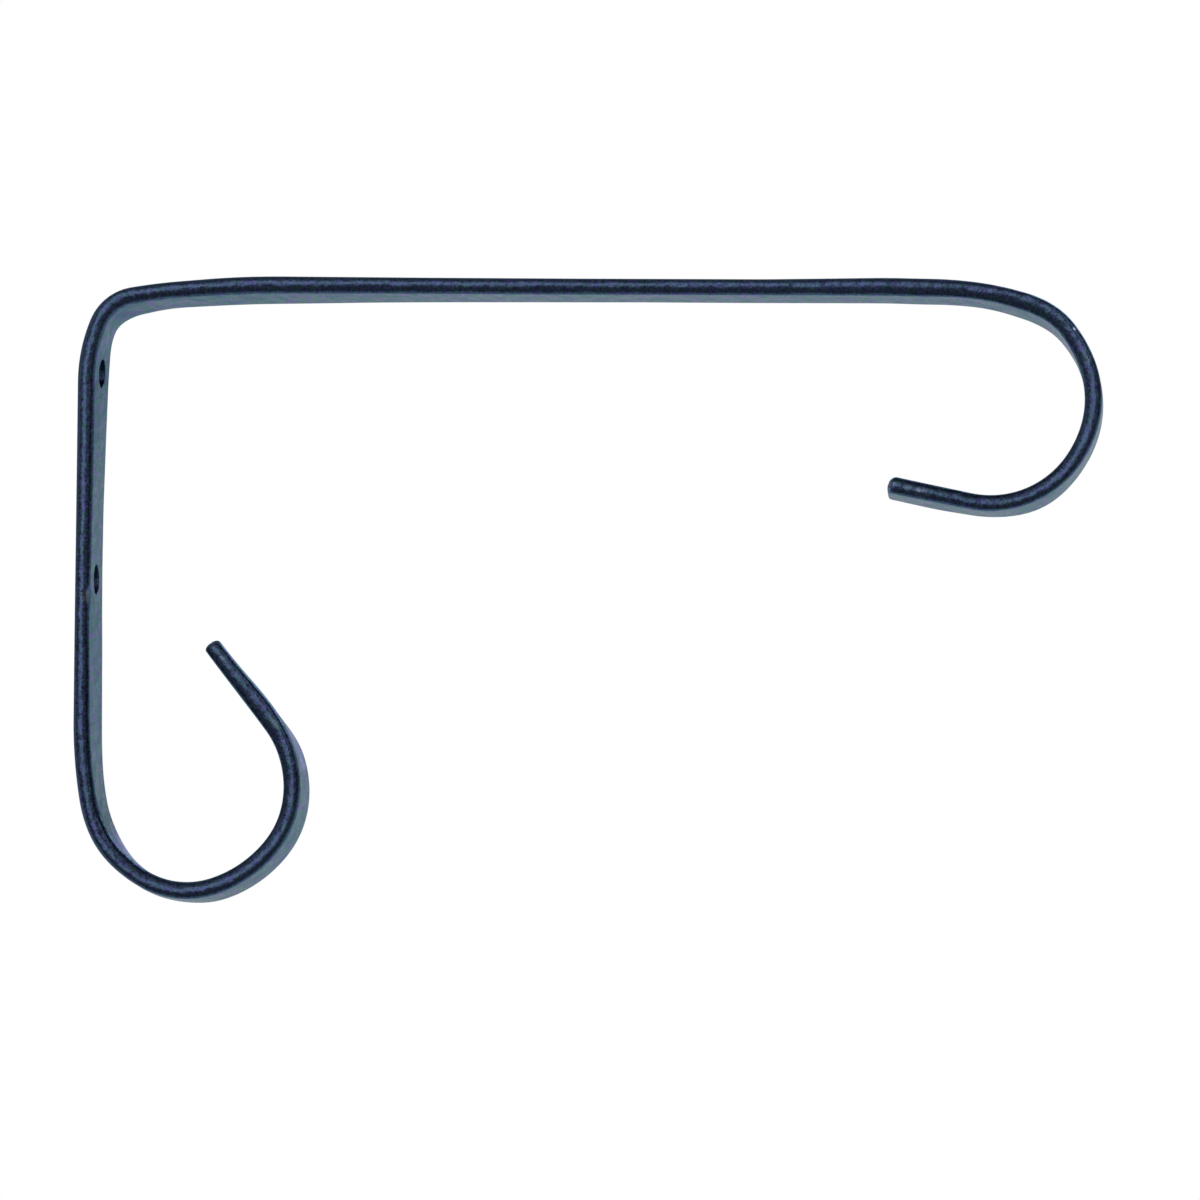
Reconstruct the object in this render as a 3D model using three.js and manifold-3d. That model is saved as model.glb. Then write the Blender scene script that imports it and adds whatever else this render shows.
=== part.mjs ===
// Wall bracket for a hanging plant pot, made the way the real one is made:
// one length of flat steel bar with rounded edges, punched for two screws and cold bent round formers.
//
// Millimetres. +Z is up, +X points out from the wall and Y runs across the bar's width.
// The origin is on the leg's wall face, midway between the two screw holes.

import * as THREE from 'three';
import { mergeVertices } from 'three/addons/utils/BufferGeometryUtils.js';
import Module from 'manifold-3d';

// Bar stock
const barWidth = 16;
const barThickness = 3.3;

// Screw holes, bored level through the leg. The upper one sits right at the start of the top corner.
const holeDiameter = 5.8;
const holeSpacing = 40;
const cutOverrun = 3;

// Sheared ends: the corners of the bar's wide faces and the edges of its thickness are rounded off
const tipCornerRadius = 2;
const tipEdgeRadius = 0.8;

// Leg, measured each way from the origin
const legRise = 17.7;
const legDrop = 47.3;

// Top corner. Every bend radius is to the middle of the bar's thickness, and every turn is in degrees.
const cornerEaseRadius = 30;
const cornerEaseTurn = 22;
const cornerRadius = 8.5;
const cornerTurn = 59;
const shoulderRadius = 150;

// Arm, which leaves the shoulder a little below level
const armDroop = 0.3;
const armLength = 129.5;

// Hook that carries the pot's hanger
const hookEaseRadius = 60;
const hookEaseTurn = 17;
const hookCrownRadius = 17;
const hookCrownTurn = 27;
const hookBowlRadius = 20.5;
const hookBowlTurn = 80;
const hookLiftRadius = 19;
const hookLiftTurn = 68;
const hookTipLength = 15.6;

// Scroll that finishes the leg
const scrollEaseRadius = 90;
const scrollEaseTurn = 10;
const scrollFlankRadius = 21;
const scrollFlankTurn = 59.5;
const scrollToeRadius = 16.5;
const scrollToeTurn = 37;
const scrollSoleRadius = 23.5;
const scrollSoleTurn = 28.5;
const scrollReturnRadius = 19;
const scrollReturnTurn = 82.5;
const scrollTipLength = 19.6;

// Fineness of the facets: degrees and millimetres along a bend, millimetres along a straight, then counts
const facetTurn = 5;
const bendFacet = 4;
const straightFacet = 12;
const edgeSteps = 10;
const tipSteps = 6;
const holeSides = 32;

// Paint
const paintColour = 0x20242f;
const paintRoughness = 0.42;

const halfTurn = 180;
const squareTurn = halfTurn / 2;
const toRadians = THREE.MathUtils.degToRad;
const acrossBar = new THREE.Vector3(0, 1, 0);

// One entry of the bend list: a straight run, or a bend through some degrees
function straight(length) {
  return { length, turn: 0 };
}

function bend(radius, degrees) {
  return { length: radius * toRadians(degrees), turn: toRadians(degrees), radius };
}

// The bar from the origin up the leg, over the corner and out to the hook's tip, always turning right
const towardsHook = [
  straight(legRise),
  bend(cornerEaseRadius, cornerEaseTurn),
  bend(cornerRadius, cornerTurn),
  bend(shoulderRadius, squareTurn + armDroop - cornerEaseTurn - cornerTurn),
  straight(armLength),
  bend(hookEaseRadius, hookEaseTurn),
  bend(hookCrownRadius, hookCrownTurn),
  bend(hookBowlRadius, hookBowlTurn),
  bend(hookLiftRadius, hookLiftTurn),
  straight(hookTipLength),
];

// The bar from the origin down the leg and round the scroll to its tip, always turning left
const towardsScroll = [
  straight(legDrop),
  bend(scrollEaseRadius, scrollEaseTurn),
  bend(scrollFlankRadius, scrollFlankTurn),
  bend(scrollToeRadius, scrollToeTurn),
  bend(scrollSoleRadius, scrollSoleTurn),
  bend(scrollReturnRadius, scrollReturnTurn),
  straight(scrollTipLength),
];

function totalLength(runs) {
  return runs.reduce((sum, run) => sum + run.length, 0);
}

// Moves a station along part of one run. hand is 1 for a left turn and -1 for a right turn.
function advance(from, run, along, hand) {
  const heading = from.heading + (hand * run.turn * along) / run.length;
  const distance = from.distance + along;
  if (run.turn === 0) {
    const x = from.x + along * Math.cos(heading);
    const z = from.z + along * Math.sin(heading);
    return { x, z, heading, distance };
  }
  const reach = hand * run.radius;
  const x = from.x + reach * (Math.sin(heading) - Math.sin(from.heading));
  const z = from.z - reach * (Math.cos(heading) - Math.cos(from.heading));
  return { x, z, heading, distance };
}

// How far along a run its stations stand: evenly, and closer round a bend than on a straight
function stationMarks(run) {
  const byTurn = run.turn / toRadians(facetTurn);
  const byLength = run.length / (run.turn === 0 ? straightFacet : bendFacet);
  const steps = Math.ceil(Math.max(byTurn, byLength));
  return Array.from({ length: steps }, (unused, i) => (run.length * (i + 1)) / steps);
}

// The last straight run has its stations where the tip's corners round off
function tipMarks(run) {
  const angles = Array.from({ length: tipSteps + 1 }, (unused, i) => toRadians((squareTurn * i) / tipSteps));
  return angles.map((angle) => run.length - tipCornerRadius * (1 - Math.sin(angle)));
}

// Every station from the origin to one tip, each with its distance to that tip
function walk(runs, start, hand) {
  const wholeLength = totalLength(runs);
  const stations = [];
  let corner = start;
  runs.forEach((run, i) => {
    const marks = i === runs.length - 1 ? tipMarks(run) : stationMarks(run);
    for (const mark of marks) {
      const station = advance(corner, run, mark, hand);
      stations.push({ ...station, toTip: wholeLength - station.distance });
    }
    corner = advance(corner, run, run.length, hand);
  });
  return stations;
}

// How much a quarter round takes off at some distance from the end it rounds
function roundedOff(radius, toEnd) {
  const inset = Math.max(0, radius - toEnd);
  return radius - Math.sqrt(radius * radius - inset * inset);
}

// The bar's section as [across, out] pairs: two flat faces joined by two full round edges
function barSection(width, thickness) {
  const edgeRadius = thickness / 2;
  const flatHalf = width / 2 - edgeRadius;
  const outline = [];
  for (const [edgeMiddle, firstAngle] of [[flatHalf, -squareTurn], [-flatHalf, squareTurn]]) {
    for (let i = 0; i <= edgeSteps; i += 1) {
      const angle = toRadians(firstAngle + (halfTurn * i) / edgeSteps);
      outline.push([edgeMiddle + edgeRadius * Math.cos(angle), edgeRadius * Math.sin(angle)]);
    }
  }
  return outline;
}

// The section set up at one station, with its middle on the bar's centre line
function ringAt(station) {
  const width = barWidth - 2 * roundedOff(tipCornerRadius, station.toTip);
  const thickness = barThickness - 2 * roundedOff(tipEdgeRadius, station.toTip);
  const out = new THREE.Vector3(-Math.sin(station.heading), 0, Math.cos(station.heading));
  const middle = new THREE.Vector3(station.x, 0, station.z);
  return barSection(width, thickness).map(([across, outward]) =>
    middle.clone().addScaledVector(acrossBar, across).addScaledVector(out, outward));
}

// A closed skin over the rings, with a fan over each end
function skin(rings) {
  const sides = rings[0].length;
  const points = rings.flat();
  const faces = [];
  for (let i = 0; i < rings.length - 1; i += 1) {
    for (let j = 0; j < sides; j += 1) {
      const next = (j + 1) % sides;
      const here = i * sides;
      const ahead = here + sides;
      faces.push(here + j, here + next, ahead + next);
      faces.push(here + j, ahead + next, ahead + j);
    }
  }
  const lastRing = (rings.length - 1) * sides;
  for (let j = 1; j < sides - 1; j += 1) {
    faces.push(0, j + 1, j);
    faces.push(lastRing, lastRing + j, lastRing + j + 1);
  }
  const geometry = new THREE.BufferGeometry().setFromPoints(points);
  geometry.setIndex(faces);
  return geometry;
}

// The bent bar before its holes: the downward walk is turned about, so the skin runs from tip to tip
function bentBar(startUp, startDown) {
  const down = walk(towardsScroll, startDown, 1).reverse();
  const turnedAbout = down.map((station) => ({ ...station, heading: station.heading + Math.PI }));
  const up = walk(towardsHook, startUp, -1);
  return skin([...turnedAbout, ...up].map(ringAt));
}

// A drill that lies level through the leg at one height
function holeDrill(height) {
  const radius = holeDiameter / 2;
  const length = barThickness + 2 * cutOverrun;
  const drill = new THREE.CylinderGeometry(radius, radius, length, holeSides);
  return drill.rotateZ(toRadians(squareTurn)).translate(barThickness / 2, 0, height);
}

const wasm = await Module();
wasm.setup();

function toSolid(geometry) {
  const bare = geometry.clone();
  bare.deleteAttribute('normal');
  bare.deleteAttribute('uv');
  const merged = mergeVertices(bare);
  const mesh = new wasm.Mesh({
    numProp: 3,
    vertProperties: new Float32Array(merged.attributes.position.array),
    triVerts: new Uint32Array(merged.index.array),
  });
  return new wasm.Manifold(mesh);
}

function toGeometry(solid) {
  const mesh = solid.getMesh();
  const geometry = new THREE.BufferGeometry();
  geometry.setAttribute('position', new THREE.BufferAttribute(new Float32Array(mesh.vertProperties), 3));
  geometry.setIndex(new THREE.BufferAttribute(new Uint32Array(mesh.triVerts), 1));
  geometry.computeVertexNormals();
  return geometry;
}

function makeBracket() {
  const middle = { x: barThickness / 2, z: 0, distance: 0 };
  const startUp = { ...middle, heading: toRadians(squareTurn) };
  const startDown = { ...middle, heading: toRadians(-squareTurn) };
  let solid = toSolid(bentBar(startUp, startDown));
  for (const height of [holeSpacing / 2, -holeSpacing / 2]) {
    solid = solid.subtract(toSolid(holeDrill(height)));
  }
  return toGeometry(solid);
}

const satinPaint = new THREE.MeshStandardMaterial({
  color: paintColour,
  roughness: paintRoughness,
  metalness: 0,
});

const bentBarMesh = new THREE.Mesh(makeBracket(), satinPaint);
bentBarMesh.name = 'bent_bar';

const bracket = new THREE.Group();
bracket.add(bentBarMesh);

export default bracket;
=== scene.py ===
# %% [markdown]
# A wall bracket for a hanging plant pot.
#
# The real bracket is a single length of flat steel bar. Somebody cut it off, punched two screw holes,
# took the sharpness off the ends, bent it cold round a few formers and painted it blue-black.
# Nothing is welded or screwed on, so this lesson has one piece, and all its care goes into that piece:
# a bar that is made flat, then bent, then painted.
#
# The CAD model is loaded first. It is the fixed frame that everything here has to fit.

# %% Load the frame
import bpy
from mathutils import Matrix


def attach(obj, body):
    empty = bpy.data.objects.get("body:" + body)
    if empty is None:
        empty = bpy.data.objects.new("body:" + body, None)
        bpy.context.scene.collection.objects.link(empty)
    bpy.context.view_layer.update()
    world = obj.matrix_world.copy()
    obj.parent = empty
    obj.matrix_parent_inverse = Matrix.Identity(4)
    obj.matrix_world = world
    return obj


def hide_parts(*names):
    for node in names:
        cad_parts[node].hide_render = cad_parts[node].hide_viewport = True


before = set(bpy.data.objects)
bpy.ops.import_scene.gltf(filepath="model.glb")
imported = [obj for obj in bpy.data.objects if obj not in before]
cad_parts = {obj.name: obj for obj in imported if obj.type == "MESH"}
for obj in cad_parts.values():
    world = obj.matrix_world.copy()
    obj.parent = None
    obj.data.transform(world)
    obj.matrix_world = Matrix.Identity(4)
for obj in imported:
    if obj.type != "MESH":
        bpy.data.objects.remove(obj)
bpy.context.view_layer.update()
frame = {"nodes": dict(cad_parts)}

MM = 0.001


def in_mm(metres):
    return [round(value / MM, 1) for value in metres]


print("Nodes in the frame:", ", ".join(frame["nodes"]))

# %% [markdown]
# The photograph was taken from far off with a long lens, almost square to the bracket's side.
# That is why its near edge reads like a drawing, with only a thin strip of the wide faces beside it.
# A camera can be matched by trial, but the strip's width gives it away: where the strip closes up is
# the height and side that the lens stood at. The place, the aim and the small lean below come from that.
# The camera is made before any piece, because it decides what is worth modelling finely.

# %% Set up the camera
import bpy
import math
from mathutils import Quaternion, Vector

camera_place = Vector((234.3, -1524.6, -145.0)) * MM
camera_aim = Vector((100.97, -6.35, -24.4)) * MM
camera_lens = 240.7
camera_lean = math.radians(0.435)


def point_at(thing, target, lean=0.0):
    """Turns a camera or a lamp towards a place, then leans it about its own line of sight."""
    facing = (target - thing.location).to_track_quat("-Z", "Y")
    thing.rotation_mode = "QUATERNION"
    thing.rotation_quaternion = facing @ Quaternion((0, 0, 1), lean)


def make_camera():
    camera = bpy.data.objects.new("camera", bpy.data.cameras.new("camera"))
    camera.data.lens = camera_lens
    camera.location = camera_place
    point_at(camera, camera_aim, camera_lean)
    bpy.context.scene.collection.objects.link(camera)
    bpy.context.scene.camera = camera


make_camera()
print("Camera to bracket:", round((camera_aim - camera_place).length, 2), "m")

# %% [markdown]
# The bar stock. Strip of this kind is sold 16 mm wide and an eighth of an inch thick, rolled with full
# round edges. Everything is written in millimetres here and turned into Blender's metres at the end.
#
# The holes are punched in the flat strip, and the punch leaves a soft rim. The ends are sheared a little
# past the mark and then ground round by hand, so no two are alike: the hook's tip is rounded most towards
# the hook's inside, where it must not catch, and the scroll's tip is rounded nearly alike on both faces.
#
# For each end, "outer" and "inner" are what the grinding takes off the two faces, "corner" is what it
# takes off the two edges, and each "depth" is how far back it starts. "longer" is how far past the mark
# the cut fell, and "slant" is how much further it fell at the far edge.

# %% Sizes of the bar
bar_width = 16.0
bar_thickness = 3.3
half_thickness = bar_thickness / 2

hole_radius = 2.9
hole_spacing = 40.0
hole_rim = 0.15

# The middle of the round edge that faces the camera
near_edge = -(bar_width / 2 - half_thickness)

hook_end = {
    "outer": 1.1, "outer_depth": 0.6, "inner": 1.6, "inner_depth": 1.4,
    "corner": 2.6, "corner_depth": 1.1, "longer": 0.3, "slant": 0.6,
}
scroll_end = {
    "outer": 1.3, "outer_depth": 0.9, "inner": 1.2, "inner_depth": 0.7,
    "corner": 2.0, "corner_depth": 2.0, "longer": 0.25, "slant": 0.0,
}

print("Bar stock:", bar_width, "x", bar_thickness, "mm, holes", 2 * hole_radius, "mm across")

# %% [markdown]
# The bend list is how a smith would write the bracket down: how far to run straight, then which former
# to pull the bar round and how far. A traced outline would hold hundreds of points and still wobble.
# Ten runs towards the hook and seven towards the scroll say the same shape in round numbers.
#
# A bend is written as its radius to the middle of the bar's thickness and its turn in degrees. The start
# is on the leg, midway between the holes.

# %% Bend list


def straight(length):
    return {"length": length, "turn": 0.0}


def bend(radius, degrees):
    return {"length": radius * math.radians(degrees), "turn": math.radians(degrees)}


leg_rise = straight(17.7)
corner_ease = bend(30, 22)
corner_round = bend(8.5, 59)
shoulder = bend(150, 9.3)
arm = straight(129.5)
hook_ease = bend(60, 17)
hook_crown = bend(17, 27)
hook_bowl = bend(20.5, 80)
hook_lift = bend(19, 68)
hook_straight = straight(15.6)
hook = [hook_ease, hook_crown, hook_bowl, hook_lift, hook_straight]
towards_hook = [leg_rise, corner_ease, corner_round, shoulder, arm, *hook]

leg_drop = straight(47.3)
scroll_ease = bend(90, 10)
scroll_flank = bend(21, 59.5)
scroll_toe = bend(16.5, 37)
scroll_sole = bend(23.5, 28.5)
scroll_return = bend(19, 82.5)
scroll_straight = straight(19.6)
scroll = [scroll_ease, scroll_flank, scroll_toe, scroll_sole, scroll_return, scroll_straight]
towards_scroll = [leg_drop, *scroll]

hook_tip = sum(run["length"] for run in towards_hook)
scroll_tip = -sum(run["length"] for run in towards_scroll)
print("Strip cut to", round(hook_tip - scroll_tip, 1), "mm")

# %% [markdown]
# Walking the bend list. Each run starts where the last one ended, so the starts are worked out once.
# After that, any distance along the strip has a place and a heading. Distances count up towards the
# hook's tip and down towards the scroll's tip, and the heading always looks towards the hook's tip.

# %% Walk the bend list
right_hand = -1
left_hand = 1


def step_along(start, run, distance, hand):
    """The place and heading after some distance along one run."""
    x, z, heading = start
    if run["turn"] == 0:
        return x + distance * math.cos(heading), z + distance * math.sin(heading), heading
    reach = hand * run["length"] / run["turn"]
    ahead = heading + distance / reach
    x += reach * (math.sin(ahead) - math.sin(heading))
    z -= reach * (math.cos(ahead) - math.cos(heading))
    return x, z, ahead


def lay_out(runs, heading, hand):
    """Each run with its start and its distance from the origin."""
    start = (half_thickness, 0.0, heading)
    distance = 0.0
    laid = []
    for run in runs:
        laid.append((distance, start, run))
        start = step_along(start, run, run["length"], hand)
        distance += run["length"]
    return laid


hook_side = lay_out(towards_hook, math.pi / 2, right_hand)
scroll_side = lay_out(towards_scroll, -math.pi / 2, left_hand)
arm_start = hook_side[towards_hook.index(arm)][0]


def centre_line(along):
    """Place and heading of the middle of the bar at a distance from the origin."""
    side, hand = (hook_side, right_hand) if along >= 0 else (scroll_side, left_hand)
    begun = [laid for laid in side if laid[0] <= abs(along)]
    distance, start, run = begun[-1]
    x, z, heading = step_along(start, run, abs(along) - distance, hand)
    return (x, z, heading) if along >= 0 else (x, z, heading + math.pi)


for name, along in (("hook", hook_tip), ("scroll", scroll_tip)):
    x, z, heading = centre_line(along)
    print("Tip of the", name, "at", round(x, 1), "mm out and", round(z, 1), "mm up")

# %% [markdown]
# No hand-bent bar is perfect. Pulling it round the formers also twists it a few degrees, and it bows a
# hair to either side. Seen square on, that twist opens and closes the lit strip beside the edge,
# which is much of what makes the photograph look like a real bar and not a drawing.
#
# The marks below were judged at the places where the strip is widest and narrowest: how far along, then
# how many degrees. Between marks the value slides in a straight line, and averaging over a few
# millimetres takes the corners off it. The bow is a list of the same kind, in millimetres.

# %% Hand-bent twist and bow
import numpy as np

scroll_twist = [(-153, 3.75), (-135, 3.75), (-130.5, -0.25), (-95, -1.5), (-89, -0.25), (-79, -2.75),
                (-74.5, -1.25), (-71, 0.75)]
leg_twist = [(-58, 0.75), (-50, 1.75), (-30, 2.25), (-17, 1), (-6, 0.75), (8, 1.75), (21, 3.5)]
corner_twist = [(29, -1.5), (36, 3.25), (43, 1.25), (52, 2)]
arm_twist = [(65, 2.25), (80, 1.25), (95, 0.5), (117, 0), (135, -0.25), (153, 0), (174, 0), (185, 0.25)]
hook_twist = [(200, 0.5), (215, 2), (226, 0), (235, 0.5), (247, 0.25), (256, -2), (265, 0.5),
              (275, -1.25), (283, -0.5)]
twist_marks = scroll_twist + leg_twist + corner_twist + arm_twist + hook_twist

scroll_bow = [(-150, -0.1), (-138, 0), (-126, -0.15), (-114, 0.1), (-108, 0), (-96, 0.1), (-84, 0.1),
              (-78, 0), (-72, 0.2), (-66, 0)]
arm_bow = [(44, 0), (50, -0.1), (65, 0.2), (95, 0), (123, -0.1), (160, -0.15), (183, 0.2), (196, -0.05)]
hook_bow = [(212, 0), (217, 0.25), (223, -0.05), (235, 0.1), (243, -0.05), (255, 0), (278, 0.1)]
bow_marks = scroll_bow + arm_bow + hook_bow

mark_blend = 5.0
mark_samples = 7


def between_marks(marks, along):
    """The value of a list of marks at some distance, averaged over the blend."""
    places, values = zip(*marks)
    around = along + np.linspace(-mark_blend / 2, mark_blend / 2, mark_samples)
    return float(np.mean(np.interp(around, places, values)))


def twist_at(along):
    return math.radians(between_marks(twist_marks, along))


twists = [degrees for place, degrees in twist_marks]
print("Twist from", min(twists), "to", max(twists), "degrees")

# %% [markdown]
# Another list says, in millimetres, how much the inner face stands in where the bar is thin. That is
# most beside the lower hole, where the punch drew the metal in, and below zero where the bar is full, as
# at the leg's foot. The next one thickens the outer face behind the scroll's tip, where the bending fork
# gripped the bar and upset its edge, and thins it over the hook's last bend, where bending stretched it.
#
# The last list leans the round edge. Bending stretches the outside of the bar, which carries the crest
# of the edge a little towards it, and the highlight with it. Each value is how far the crest moves.

# %% Thin and thick places, and the leaning edge
leg_thin = [(-84, 0), (-78, -0.15), (-72, -0.25), (-66, -0.1), (-62, 0.05), (-50, 0.1), (-41, 0.25),
            (-28, 0.45), (-16, 0.25), (-3, 0.1), (8, 0)]
arm_thin = [(28, 0), (40, 0.15), (48, 0.15), (58, -0.05), (70, 0), (85, 0.15), (100, 0.2), (160, 0.25),
            (176, 0), (190, -0.15), (203, 0.1), (210, -0.1), (218, 0)]
thin_marks = leg_thin + arm_thin

upset_marks = [(-152, 0), (-148, 0.1), (-144, 0.35), (-140, 0.6), (-136, 0.6), (-131, 0),
               (240, 0), (250, -0.15), (258, -0.25), (270, -0.2), (276, -0.1), (283, 0)]

scroll_lean = [(-153, 0.1), (-146, 0.3), (-134, 0.5), (-128, 0.35), (-110, 0.35), (-95, 0.2),
               (-82, 0.4), (-74, 0.25)]
leg_lean = [(-62, -0.05), (0, 0), (24, 0)]
arm_lean = [(36, 0.2), (200, 0.25)]
hook_lean = [(212, 0.6), (230, 0.6), (238, 0.35), (260, 0.25), (283, 0.1)]
lean_marks = scroll_lean + leg_lean + arm_lean + hook_lean

deepest = max(depth for place, depth in thin_marks)
print("The inner face stands in by up to", deepest, "mm")

# %% [markdown]
# The strip is modelled flat, as it is before the bending. Each station along it holds one ring: two flat
# faces and two round edges. Near the tips the ring shrinks, which rounds the ends over.
#
# The bar could also be a curve with a bevel object, but then the holes would have to be cut by a
# boolean, and a boolean leaves long thin triangles that shade badly on smooth paint.

# %% One ring of the flat strip
flat_steps = 20
edge_steps = 14
ring_count = 2 * (flat_steps + edge_steps)


def ring_outline(width, outer, inner, lean):
    """(across, out) pairs round the strip, whose outer face is at +outer and inner face at -inner."""
    middle = (outer - inner) / 2
    radius = (outer + inner) / 2
    flat_half = width / 2 - radius
    points = []
    for side in (1, -1):
        for i in range(flat_steps):
            across = side * flat_half * (2 * i / flat_steps - 1)
            points.append((across, middle + side * radius))
        for i in range(edge_steps):
            angle = math.pi * i / edge_steps
            across = side * (flat_half + radius * math.sin(angle))
            out = middle + side * radius * math.cos(angle) + lean * math.sin(angle) ** 2
            points.append((across, out))
    return points


print(ring_count, "points in a ring")

# %% Rings near the tips
slant_reach = 4.0


def to_nearest_tip(along):
    return min(hook_tip - along, along - scroll_tip)


def rounded_off(most, depth, to_end):
    """How much a quarter of an oval takes off, at some distance from the end that it rounds."""
    inset = max(0.0, 1 - to_end / depth)
    return most * (1 - math.sqrt(1 - inset ** 2))


def end_near(along):
    return hook_end if along > 0 else scroll_end


def off_square(along, across):
    """How far the slanting cut moves a point along the strip, which fades out behind the tip."""
    end = end_near(along)
    fade = max(0.0, 1 - to_nearest_tip(along) / slant_reach)
    shift = end["longer"] + end["slant"] * (across - near_edge) / bar_width
    return math.copysign(fade * shift, along)


def faces_at(along):
    """How far the outer and the inner face stand from the middle, which is less near a tip."""
    end = end_near(along)
    to_tip = to_nearest_tip(along)
    outer = half_thickness - rounded_off(end["outer"], end["outer_depth"], to_tip)
    inner = half_thickness - rounded_off(end["inner"], end["inner_depth"], to_tip)
    return outer + between_marks(upset_marks, along), inner - between_marks(thin_marks, along)


def ring_at(along):
    end = end_near(along)
    width = bar_width - 2 * rounded_off(end["corner"], end["corner_depth"], to_nearest_tip(along))
    outline = ring_outline(width, *faces_at(along), between_marks(lean_marks, along))
    return [(along + off_square(along, across), across, out) for across, out in outline]


outer, inner = faces_at(hook_tip)
print("Thickness left at the hook's tip:", round(outer + inner, 2), "mm")

# %% [markdown]
# Where the stations stand. They are closer together where the bar will bend, where a hole is punched and
# where a tip rounds off. Each hole gets a square window with stations right on its edges, so that its
# own round mesh can be let in there.

# %% Stations along the strip
window_half = 5.0
finest_step = 0.5
bend_step = 0.7
straight_step = 1.2
tip_steps = 8

hole_places = (-hole_spacing / 2, hole_spacing / 2)


def spread(start, end, longest):
    """Even steps from start up to, but not including, end."""
    count = math.ceil((end - start) / longest)
    return [start + (end - start) * i / count for i in range(count)]


def tip_distances(deepest):
    """Distances from a tip, closer together towards it, where its faces and corners round off."""
    angles = [math.pi / 2 * i / tip_steps for i in range(tip_steps + 1)]
    return [deepest * (1 - math.sin(angle)) for angle in angles]


def rounded_length(end):
    """How far back from a tip its roundings reach."""
    return max(end["corner_depth"], end["outer_depth"], end["inner_depth"])


def station_places():
    windows = [(place - window_half, place + window_half) for place in hole_places]
    arm_end = arm_start + arm["length"]
    hook_round = rounded_length(hook_end)
    scroll_round = rounded_length(scroll_end)
    bends_end = hook_tip - hook_round
    bends_start = scroll_tip + scroll_round
    places = [scroll_tip + distance for distance in reversed(tip_distances(scroll_round))][:-1]
    places += spread(bends_start, -leg_drop["length"], bend_step)
    places += spread(-leg_drop["length"], windows[0][0], straight_step)
    places += spread(*windows[0], finest_step)
    places += spread(windows[0][1], windows[1][0], straight_step)
    places += spread(*windows[1], finest_step)
    places += spread(windows[1][1], arm_start, bend_step)
    places += spread(arm_start, arm_end, straight_step)
    places += spread(arm_end, bends_end, bend_step)
    places += [hook_tip - distance for distance in tip_distances(hook_round)]
    return places


stations = station_places()
print(len(stations), "stations, the closest", round(min(np.diff(stations)), 3), "mm apart")

# %% [markdown]
# Now the flat strip becomes a mesh. The rings are joined by four-sided faces, except in the windows,
# which stay open on both wide faces. bmesh is used because every face is placed on purpose.

# %% Join the rings
import bmesh

window_columns = 16
first_column = (flat_steps - window_columns) // 2
last_column = first_column + window_columns


def is_window(station, column):
    """True where a face of the grid would lie in a hole's window, on the outer or the inner face."""
    middle = (stations[station] + stations[station + 1]) / 2
    if all(abs(middle - place) > window_half for place in hole_places):
        return False
    on_face = column % (flat_steps + edge_steps)
    return first_column <= on_face < last_column


def join_rings(strip, rings):
    for i in range(len(rings) - 1):
        for j in range(ring_count):
            following = (j + 1) % ring_count
            if is_window(i, j):
                continue
            strip.faces.new((rings[i][j], rings[i + 1][j], rings[i + 1][following], rings[i][following]))


strip = bmesh.new()
rings = [[strip.verts.new(point) for point in ring_at(along)] for along in stations]
join_rings(strip, rings)
print("Strip without its holes and ends:", len(strip.faces), "faces")

# %% [markdown]
# A hole is let into its two windows. Rings of points run in from the square window to the round rim,
# roll over the rim's small radius and go down the wall to the middle of the bar, then the same again from
# the other side. A real punched hole is like this too: the rim is drawn in slightly, and the paint
# gathers on it.

# %% Profile of a hole
wall_shares = (0.4, 0.7)
rim_steps = 4


def hole_profile():
    """(radius, depth) down the rim and the wall to the middle of the bar."""
    profile = []
    for i in range(1, rim_steps + 1):
        angle = math.pi / 2 * i / rim_steps
        radius = hole_radius + hole_rim * (1 - math.sin(angle))
        profile.append((radius, hole_rim * (1 - math.cos(angle))))
    for share in wall_shares:
        profile.append((hole_radius, hole_rim + share * (half_thickness - hole_rim)))
    return profile


print("Rings from a hole's rim to its middle:", len(hole_profile()))

# %% Points round a hole
station_slack = 0.05


def window_edge(place, side):
    """The window's vertices in order round the hole, on the outer face (side 1) or the inner face."""
    near = [i for i, along in enumerate(stations) if abs(along - place) < window_half + station_slack]
    offset = 0 if side == 1 else flat_steps + edge_steps
    columns = [offset + column for column in range(first_column, last_column + 1)]
    if side == -1:
        columns.reverse()
    low = [rings[near[0]][column] for column in columns[:-1]]
    right = [rings[i][columns[-1]] for i in near[:-1]]
    high = [rings[near[-1]][column] for column in columns[:0:-1]]
    left = [rings[i][columns[0]] for i in near[:0:-1]]
    return low + right + high + left


def on_circle(vertex, place, side, radius, depth):
    """The point straight in from a window's vertex, at some radius and depth of the hole."""
    angle = math.atan2(vertex.co.y, vertex.co.x - place)
    along = place + radius * math.cos(angle)
    outer, inner = faces_at(along)
    face = outer if side == 1 else -inner
    return Vector((along, radius * math.sin(angle), face - side * depth))


print("Points round a hole:", len(window_edge(hole_places[0], 1)))

# %% Let the holes in
window_shares = (0.3, 0.6, 0.85, 1.0)


def rings_into_hole(place, side):
    edge = window_edge(place, side)
    rim = [on_circle(vertex, place, side, hole_radius + hole_rim, 0) for vertex in edge]
    loops = [edge]
    for share in window_shares:
        loops.append([strip.verts.new(vertex.co.lerp(point, share)) for vertex, point in zip(edge, rim)])
    for radius, depth in hole_profile():
        loops.append([strip.verts.new(on_circle(vertex, place, side, radius, depth)) for vertex in edge])
    return loops


def join_loops(first, second):
    for i in range(len(first)):
        following = (i + 1) % len(first)
        strip.faces.new((first[i], first[following], second[following], second[i]))


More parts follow.
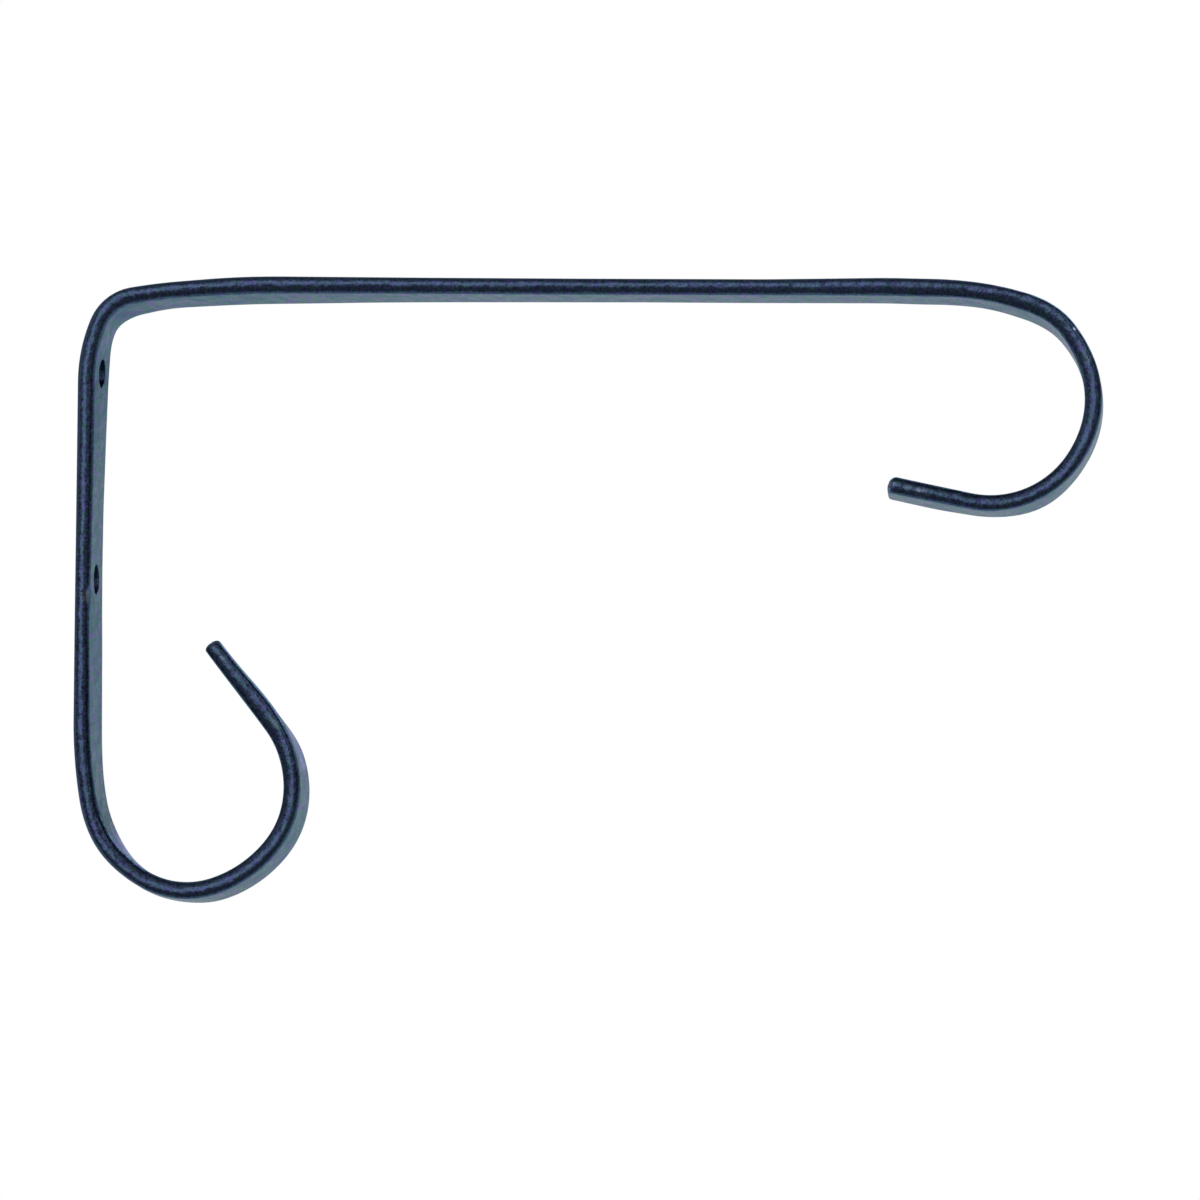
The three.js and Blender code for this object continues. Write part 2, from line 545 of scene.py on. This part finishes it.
def let_hole_in(place):
    outer = rings_into_hole(place, 1)
    inner = rings_into_hole(place, -1)
    for loops in (outer, inner):
        for first, second in zip(loops, loops[1:]):
            join_loops(first, second)
    join_loops(outer[-1], inner[-1])


for place in hole_places:
    let_hole_in(place)
print("Strip with its holes:", len(strip.faces), "faces")

# %% [markdown]
# The sheared ends. A saw would leave them flat, but the shear and the thick paint leave them a hair
# domed, so the last ring is drawn in a few times more while it moves outwards, and then closed.

# %% Close the ends
tip_bulge = 0.06
cap_shares = (0.15, 0.35, 0.6, 0.9)


def cap_ring(tip, direction, share):
    """A ring on the domed end: the tip's own ring, drawn in by a share of its half thickness."""
    outer, inner = faces_at(tip)
    drawn_in = share * (outer + inner) / 2
    width = bar_width - 2 * end_near(tip)["corner"] - 2 * drawn_in
    along = tip + direction * tip_bulge * (1 - (1 - share) ** 2)
    outline = ring_outline(width, outer - drawn_in, inner - drawn_in, 0)
    return [strip.verts.new((along + off_square(tip, across), across, out)) for across, out in outline]


def opposite(column):
    """The ring's point straight across the thickness."""
    return (2 * flat_steps + edge_steps - column) % ring_count


def close_end(last_ring, tip, direction):
    loops = [last_ring] + [cap_ring(tip, direction, share) for share in cap_shares]
    for first, second in zip(loops, loops[1:]):
        join_loops(first, second)
    final = loops[-1]
    for column in range(-edge_steps // 2, flat_steps + edge_steps // 2):
        corners = [final[column], final[column + 1], final[opposite(column + 1)], final[opposite(column)]]
        strip.faces.new(list(dict.fromkeys(corners)))


close_end(rings[0], scroll_tip, -1)
close_end(rings[-1], hook_tip, 1)
bmesh.ops.recalc_face_normals(strip, faces=strip.faces)
print("Flat strip closed, volume", round(strip.calc_volume()), "cubic millimetres")

# %% [markdown]
# Small knocks. A dent is a soft push by a blunt tool: full depth in the middle, fading out round it.
# A deep one and a shallow one are in the near edge by the lower hole, where a vice caught it, and one is
# a slight flat on the outside of the hook, where the bar left its former.

# %% Knock the dents in
dents = [
    {"place": (-23.7, -7.2, -1.3), "size": (1.3, 0.9, 0.9), "push": (0, 0.28, 0.3)},
    {"place": (-19.0, -7.6, -1.0), "size": (0.8, 0.5, 0.6), "push": (0, 0.12, 0.08)},
    {"place": (221.3, -7.6, 0.9), "size": (0.9, 0.6, 0.7), "push": (0, 0.12, -0.15)},
]


def knocked(point):
    """A point of the flat strip after the dents."""
    moved = Vector(point)
    for dent in dents:
        away = [(point[i] - dent["place"][i]) / dent["size"][i] for i in range(3)]
        moved += Vector(dent["push"]) * math.exp(-sum(share ** 2 for share in away))
    return moved


for vertex in strip.verts:
    vertex.co = knocked(vertex.co)
print(len(dents), "dents knocked in")

# %% [markdown]
# Bending. Every point follows the centre line at its own distance from it. The twist turns it about the
# near edge, which is the edge that the bend list was read from, and the bow lifts it.

# %% Bend the strip


def bent(point):
    """A point of the flat strip, in its place on the bent bar, in millimetres."""
    along, across, out = point
    on_line = min(max(along, scroll_tip), hook_tip)
    x, z, heading = centre_line(on_line)
    twist = twist_at(along)
    from_edge = across - near_edge
    side = near_edge + from_edge * math.cos(twist) + out * math.sin(twist)
    lift = out * math.cos(twist) - from_edge * math.sin(twist) + between_marks(bow_marks, along)
    past_tip = along - on_line
    x += past_tip * math.cos(heading) - lift * math.sin(heading)
    z += past_tip * math.sin(heading) + lift * math.cos(heading)
    return Vector((x, side, z))


def make_bar():
    mesh = bpy.data.meshes.new("flat_bar_bracket")
    for vertex in strip.verts:
        vertex.co = bent(vertex.co) * MM
    bmesh.ops.recalc_face_normals(strip, faces=strip.faces)
    strip.to_mesh(mesh)
    mesh.shade_smooth()
    bar = bpy.data.objects.new("painted_bar", mesh)
    bpy.context.scene.collection.objects.link(bar)
    return bar


bar = make_bar()
print("Bent bar:", len(bar.data.vertices), "points, size", in_mm(bar.dimensions), "mm")

# %% [markdown]
# The paint is a blue-black satin coat with fine metal flake in it. A single dark colour looks like a hole
# in the picture, so the finish is built from what the eye picks up on the real one: face on, the flake
# reflects a deep blue, and edge on a paler grey-blue. The colour drifts between navy, violet and teal, and
# the coat is uneven, which breaks the highlight into soft patches and grains.
#
# A dark plastic-like paint was the other choice, but its edge-on reflection is always white, and the
# strip beside the near edge would then turn grey.
#
# The patterns use the piece's own coordinates, so they stay put on the bar from every side.

# %% Helpers for shader nodes


def add_node(tree, kind, settings=None, values=None):
    """Adds a shader node, sets its options, then its sockets' values."""
    node = tree.nodes.new(kind)
    for name, setting in (settings or {}).items():
        setattr(node, name, setting)
    for name, value in (values or {}).items():
        node.inputs[name].default_value = value
    return node


def feed(tree, socket, value):
    """Links a socket to another node's output, or sets it to a plain value."""
    if isinstance(value, bpy.types.NodeSocket):
        tree.links.new(value, socket)
    else:
        socket.default_value = value


def add_math(tree, operation, *values):
    """Works out a number from others, each a plain number or another node's output."""
    node = add_node(tree, "ShaderNodeMath", {"operation": operation})
    for socket, value in zip(node.inputs, values):
        feed(tree, socket, value)
    return node.outputs["Value"]


def add_range(tree, value, low, high, to_low, to_high):
    """Stretches a value from low..high to another range, and holds it there."""
    node = add_node(tree, "ShaderNodeMapRange", values={
        "From Min": low, "From Max": high, "To Min": to_low, "To Max": to_high})
    feed(tree, node.inputs["Value"], value)
    return node.outputs["Result"]


print("Node helpers ready")

# %% Helpers for patterns and colours


def add_noise(tree, where, cell, detail):
    """Noise whose cells are about so many millimetres across."""
    noise = add_node(tree, "ShaderNodeTexNoise", values={"Scale": 1 / (cell * MM), "Detail": detail})
    feed(tree, noise.inputs["Vector"], where)
    return noise.outputs["Fac"]


def add_mix(tree, share, first, second):
    """Mixes two colours, each given as a colour or as another node's output."""
    node = add_node(tree, "ShaderNodeMix", {"data_type": "RGBA"})
    for name, value in (("Factor", share), ("A", first), ("B", second)):
        matching = [socket for socket in node.inputs if socket.name == name and socket.enabled]
        feed(tree, matching[0], value)
    return next(socket for socket in node.outputs if socket.enabled)


def add_bump(tree, height, depth, under=None):
    """Turns a height into bumps so many millimetres deep, on top of any bumps under it."""
    bump = add_node(tree, "ShaderNodeBump", values={"Distance": depth * MM})
    feed(tree, bump.inputs["Height"], height)
    if under:
        feed(tree, bump.inputs["Normal"], under)
    return bump.outputs["Normal"]


print("Pattern helpers ready")

# %% [markdown]
# A few spots lie over the paint. One, below the lower hole, is a scuff where tools rubbed the paint pale.
# The rest are painted light: glints and highlights painted in as lighter colour on the near edge and at
# the tips, and two patches of painted lilac sheen on the wide faces. Each one is a ball that colours what
# it holds of the bar. It has its distance along the bar, its degrees round the near edge, counted from the
# crest towards the inner face, and its reach. The colour is whole within about half the reach and gone
# beyond it.
#
# The two painted end highlights sit just past the tips, so that they tint only the very ends. The two with
# an "inward" lie that far in on a wide face, where they paint the lilac sheen. An image texture could hold
# all this too, but the bar would have to be unwrapped for it.

# %% A scuff, and painted glints and highlights
# scuffed is worn paint. Every other colour here paints light: glints, highlights and a lilac sheen.
scuffed = (0.12, 0.15, 0.2, 1)
painted_lilac_glint = (0.11, 0.11, 0.27, 1)
painted_crest_highlight = (0.11, 0.14, 0.22, 1)
painted_glint = (0.08, 0.125, 0.175, 1)
painted_pale_highlight = (0.16, 0.2, 0.3, 1)
painted_end_highlight = (0.26, 0.36, 0.55, 1)
painted_lilac_sheen = (0.28, 0.28, 0.62, 1)
painted_bright_glint = (0.55, 0.7, 1.0, 1)
# Only the first spot is a scuff. The others are painted glints and highlights, and the last two a painted
# lilac sheen.
spots = [
    {"along": -23.8, "around": 42, "reach": 1.7, "colour": scuffed},
    # painted glint on the small dent beside the lower hole
    {"along": -18.8, "around": 18, "reach": 0.45, "colour": painted_lilac_glint},
    # painted glint on the slight flat outside the hook
    {"along": 220.3, "around": -36, "reach": 0.42, "colour": painted_bright_glint},
    # painted glints where the edge catches the light, on the hook and behind the scroll's tip
    {"along": 226.0, "around": -22, "reach": 1.1, "colour": painted_glint},
    {"along": -134.3, "around": -18, "reach": 1.2, "colour": painted_glint},
    # painted highlight on the lit end of the hook's tip, and painted glints along its edge
    {"along": 286.5, "around": 5, "reach": 3.1, "colour": painted_end_highlight},
    {"along": 281.3, "around": 2, "reach": 0.5, "colour": painted_glint},
    {"along": 280.6, "around": 4, "reach": 0.5, "colour": painted_glint},
    {"along": 278.6, "around": 4, "reach": 0.7, "colour": painted_pale_highlight},
    {"along": 277.8, "around": 8, "reach": 0.6, "colour": painted_pale_highlight},
    # painted highlight on the crest near the scroll's tip, and on its lit end
    {"along": -150.6, "around": -2, "reach": 0.7, "colour": painted_crest_highlight},
    {"along": -156.0, "around": -10, "reach": 3.0, "colour": painted_end_highlight},
    # painted lilac sheen on the wide faces, on the strips beside the edge
    {"along": -129.5, "around": -90, "inward": 7, "reach": 6.5, "colour": painted_lilac_sheen},
    {"along": -76.0, "around": 90, "inward": 11, "reach": 8, "colour": painted_lilac_sheen},
]
spot_rim = 1.5


def spot_place(spot):
    """A spot's middle on the bent bar, in metres."""
    around = math.radians(spot["around"])
    across = near_edge - half_thickness * math.cos(around) + spot.get("inward", 0)
    return bent((spot["along"], across, -half_thickness * math.sin(around))) * MM


def add_spot(tree, colour, specks, spot):
    """Lays a spot over a colour: the scuff, or a painted glint, highlight or sheen. The specks make its
    rim ragged.
    """
    reach = spot["reach"] * MM
    away = add_node(tree, "ShaderNodeVectorMath", {"operation": "DISTANCE"})
    feed(tree, away.inputs[0], add_node(tree, "ShaderNodeTexCoord").outputs["Object"])
    feed(tree, away.inputs[1], spot_place(spot))
    ragged = add_math(tree, "MULTIPLY_ADD", specks, reach, away.outputs["Value"])
    share = add_range(tree, ragged, reach, spot_rim * reach, 1, 0)
    return add_mix(tree, share, colour, spot["colour"])


# One spot is a scuff. The others are painted glints, highlights and sheen.
print(len(spots), "spots where the paint is rubbed")

# %% [markdown]
# The colours themselves. Face on, the coat is navy with teal and violet in it. Edge on, it mirrors the
# white room as a pale teal, and as lilac in the violet patches. Specks of flake lighten and darken it,
# and the same specks roughen it and make its finest bumps, so that they belong together. All patterns
# are drawn out across the bar, or they would be hair lines on the strip, which is seen almost edge on.

# %% Colours of the paint
navy = (0.052, 0.078, 0.150, 1)
violet = (0.062, 0.068, 0.185, 1)
teal = (0.046, 0.095, 0.128, 1)
edge_on_teal = (0.47, 0.66, 0.66, 1)
edge_on_lilac = (0.61, 0.58, 0.83, 1)

drift_cell = 2.6
drift_between = (0.4, 0.66)
patch_cell = 1.2
patch_between = (0.46, 0.68)
speck_between = (0.3, 0.7)
fewest_flakes = 0.62
most_flakes = 1.38
colour_detail = 3


def add_colour(tree, where, specks):
    """Face on, navy that drifts to teal and to violet in small patches. Edge on, teal and lilac."""
    drift = add_range(tree, add_noise(tree, where, drift_cell, colour_detail), *drift_between, 0, 1)
    patch = add_range(tree, add_noise(tree, where, patch_cell, colour_detail), *patch_between, 0, 1)
    colour = add_mix(tree, patch, add_mix(tree, drift, navy, teal), violet)
    flake = add_node(tree, "ShaderNodeVectorMath", {"operation": "SCALE"})
    feed(tree, flake.inputs[0], colour)
    flakes = add_range(tree, specks, *speck_between, fewest_flakes, most_flakes)
    feed(tree, flake.inputs["Scale"], flakes)
    return flake.outputs["Vector"], add_mix(tree, patch, edge_on_teal, edge_on_lilac)


print("Face on the coat is", navy[:3], "and edge on", edge_on_teal[:3])

# %% Satin paint
across_stretch = 3.0
speck_cell = 0.5
speck_detail = 2
lump_cell = 2.6
lump_detail = 1
lump_depth = 0.36
grain_depth = 0.08
least_roughness = 0.27
most_roughness = 0.37


def add_place(tree):
    """The bar's own coordinates, squeezed across its width, so that patterns are drawn out that way."""
    squeeze = add_node(tree, "ShaderNodeVectorMath", {"operation": "MULTIPLY"})
    feed(tree, squeeze.inputs[0], add_node(tree, "ShaderNodeTexCoord").outputs["Object"])
    feed(tree, squeeze.inputs[1], (1, 1 / across_stretch, 1))
    return squeeze.outputs["Vector"]


def make_paint():
    paint = bpy.data.materials.new("blue_black_satin_paint")
    paint.use_nodes = True
    tree = paint.node_tree
    shader = tree.nodes["Principled BSDF"]
    shader.inputs["Metallic"].default_value = 1.0
    where = add_place(tree)
    specks = add_noise(tree, where, speck_cell, speck_detail)
    face_on, edge_on = add_colour(tree, where, specks)
    # The scuff, and the painted glints, highlights and lilac sheen, go over the face-on colour.
    for spot in spots:
        face_on = add_spot(tree, face_on, specks, spot)
    feed(tree, shader.inputs["Base Color"], face_on)
    feed(tree, shader.inputs["Specular Tint"], edge_on)
    rough = add_range(tree, specks, *speck_between, least_roughness, most_roughness)
    feed(tree, shader.inputs["Roughness"], rough)
    lumps = add_bump(tree, add_noise(tree, where, lump_cell, lump_detail), lump_depth)
    feed(tree, shader.inputs["Normal"], add_bump(tree, specks, grain_depth, lumps))
    return paint


paint = make_paint()
bar.data.materials.append(paint)
print("Painted with", paint.name)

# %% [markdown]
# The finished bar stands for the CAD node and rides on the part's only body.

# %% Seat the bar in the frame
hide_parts("bent_bar")
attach(bar, "root")
print("Bar stands for bent_bar")

# %% [markdown]
# The room. The bracket floats in front of plain white, with a pale floor well below it that catches its
# soft shadow. A floor that is only lit comes out grey, so a little light of its own is added for what the
# camera and the reflections see of it, which lifts it to white and keeps the shadow.
#
# The world is a white sheet behind the bracket, which its wide faces mirror and which ends a little above
# it. The walls beside and over the sheet are grey, and the front is dim, as it is behind any photographer.
# The left wall comes a little further forward than the right one.
#
# A dark card lies low in front, as photographers lay one for dark metal: the edge's lower half mirrors
# it, and that draws the dark line there. The card is turned a little, with its right end further back.

# %% Helpers for the room


def grey(level):
    return (level, level, level, 1)


white = grey(1)


def make_sheet(name, x_range, y_range, drop):
    """A flat level sheet, some drop below the origin."""
    mesh = bpy.data.meshes.new(name)
    ends = ((0, 0), (1, 0), (1, 1), (0, 1))
    corners = [(x_range[i] * MM, y_range[j] * MM, -drop * MM) for i, j in ends]
    mesh.from_pydata(corners, [], [(0, 1, 2, 3)])
    sheet = bpy.data.objects.new(name, mesh)
    bpy.context.scene.collection.objects.link(sheet)
    return sheet


def seen_directly(tree):
    """1 for what the camera, a mirror or a glass shows, and 0 for light that only falls on things."""
    rays = add_node(tree, "ShaderNodeLightPath").outputs
    seen = add_math(tree, "MAXIMUM", rays["Is Camera Ray"], rays["Is Glossy Ray"])
    return add_math(tree, "MAXIMUM", seen, rays["Is Transmission Ray"])


print("Room helpers ready")

# %% Floor
floor_drop = 400.0
floor_half = 12000.0
floor_colour = grey(0.86)
floor_roughness = 0.8
floor_lift = 0.3
far_floor_lift = 0.68
lift_starts = 400.0
lift_ends = 2500.0


def make_floor():
    span = (-floor_half, floor_half)
    floor = make_sheet("floor", span, span, floor_drop)
    material = bpy.data.materials.new("pale_floor")
    material.use_nodes = True
    tree = material.node_tree
    shader = tree.nodes["Principled BSDF"]
    shader.inputs["Base Color"].default_value = floor_colour
    shader.inputs["Roughness"].default_value = floor_roughness
    shader.inputs["Emission Color"].default_value = white
    reach = add_node(tree, "ShaderNodeVectorMath", {"operation": "LENGTH"})
    feed(tree, reach.inputs[0], add_node(tree, "ShaderNodeTexCoord").outputs["Object"])
    lift_range = (lift_starts * MM, lift_ends * MM, floor_lift, far_floor_lift)
    lift = add_range(tree, reach.outputs["Value"], *lift_range)
    shown = add_math(tree, "MULTIPLY", lift, seen_directly(tree))
    feed(tree, shader.inputs["Emission Strength"], shown)
    floor.data.materials.append(material)


make_floor()
print("Floor", floor_drop, "mm below the leg's middle")

# %% Dark card
card_colour = grey(0.26)
card_drop = 150.0
card_front = -1500.0
card_back = 13.0
card_half = 6000.0
card_turn = math.radians(8)


def make_card():
    """A dark card that only the reflections see: it throws no shadow and hides nothing."""
    card = make_sheet("dark_card", (-card_half, card_half), (card_front, card_back), card_drop)
    material = bpy.data.materials.new("dark_card")
    material.use_nodes = True
    shader = material.node_tree.nodes["Principled BSDF"]
    shader.inputs["Base Color"].default_value = card_colour
    shader.inputs["Specular IOR Level"].default_value = 0
    card.data.materials.append(material)
    card.rotation_euler.z = card_turn
    card.visible_camera = False
    card.visible_diffuse = False
    card.visible_shadow = False


make_card()
print("Card", card_drop, "mm below the leg's middle")

# %% World
room_light = 0.35
room_reflection = 0.05
wall_reflection = 0.4
wall_edge = -0.1
wall_full = 0.25
wall_skew = -0.12
sheet_edge = 0.55
sheet_full = 0.95
sheet_top_starts = 0.11
sheet_top_ends = 0.15
sheet_top_share = 0.15


def make_world():
    """White to the camera, a white sheet and grey walls to reflections, and even grey light."""
    world = bpy.data.worlds.new("plain_studio")
    bpy.context.scene.world = world
    world.use_nodes = True
    tree = world.node_tree
    split = add_node(tree, "ShaderNodeSeparateXYZ")
    feed(tree, split.inputs["Vector"], add_node(tree, "ShaderNodeTexCoord").outputs["Generated"])
    side, depth, height = (split.outputs[axis] for axis in "XYZ")
    skewed = add_math(tree, "MULTIPLY_ADD", side, wall_skew, depth)
    walls = add_range(tree, skewed, wall_edge, wall_full, room_reflection, wall_reflection)
    behind = add_range(tree, depth, sheet_edge, sheet_full, 0, 1)
    below_top = add_range(tree, height, sheet_top_starts, sheet_top_ends, 1, sheet_top_share)
    on_sheet = add_math(tree, "MULTIPLY", behind, below_top)
    sheet = add_mix(tree, on_sheet, walls, white)
    reflected = add_mix(tree, seen_directly(tree), grey(room_light), sheet)
    camera_ray = add_node(tree, "ShaderNodeLightPath").outputs["Is Camera Ray"]
    shown = add_mix(tree, camera_ray, reflected, white)
    feed(tree, tree.nodes["Background"].inputs["Color"], shown)


make_world()
print("World light", room_light)

# %% [markdown]
# The lamps. A large soft lamp to the left of the camera draws the long highlight down the near edge, and
# a wide one overhead lights the arm's top. A small one at the upper right makes the glints on the hook
# and behind the scroll's tip. Two more fill in: a dim one far to the left, for the leg's outer side, and
# one behind, which keeps the back from going flat when the bracket is looked at from there.
#
# The near edge mirrors the lamps more than it is lit by them, so a lamp's size and place set how wide the
# highlight is and where it runs, and its power only sets how bright.

# %% Lamps
bracket_middle = Vector((98, 0, -21)) * MM
lamps = [
    {"name": "key", "azimuth": -18, "elevation": 12, "distance": 1300, "size": 1150, "power": 6.2},
    {"name": "overhead", "azimuth": -14, "elevation": 50, "distance": 1300, "size": 1150, "power": 1.4},
    {"name": "right", "azimuth": 41, "elevation": 28, "distance": 1300, "size": 450, "power": 1.15},
    {"name": "left", "azimuth": -80, "elevation": 28, "distance": 1300, "size": 1000, "power": 1.2},
    {"name": "behind", "azimuth": 150, "elevation": 35, "distance": 1400, "size": 700, "power": 5},
]


def round_the_bracket(azimuth, elevation, distance):
    """A place round the bracket. Azimuth 0 is square in front of its side, and 90 is beyond the hook."""
    turn, rise = math.radians(azimuth), math.radians(elevation)
    level = math.cos(rise)
    away = Vector((math.sin(turn) * level, -math.cos(turn) * level, math.sin(rise)))
    return bracket_middle + away * distance * MM


def hang_lamp(name, azimuth, elevation, distance, size, power):
    light = bpy.data.lights.new(name, "AREA")
    light.shape = "SQUARE"
    light.size = size * MM
    light.energy = power
    lamp = bpy.data.objects.new(name, light)
    lamp.location = round_the_bracket(azimuth, elevation, distance)
    lamp.visible_camera = False
    point_at(lamp, bracket_middle)
    bpy.context.scene.collection.objects.link(lamp)


for lamp in lamps:
    hang_lamp(**lamp)
print(len(lamps), "lamps hung")

# %% [markdown]
# Blender's filmic view would grey the white sheet, so the plain one is chosen.

bpy.context.scene.view_settings.view_transform = "Standard"
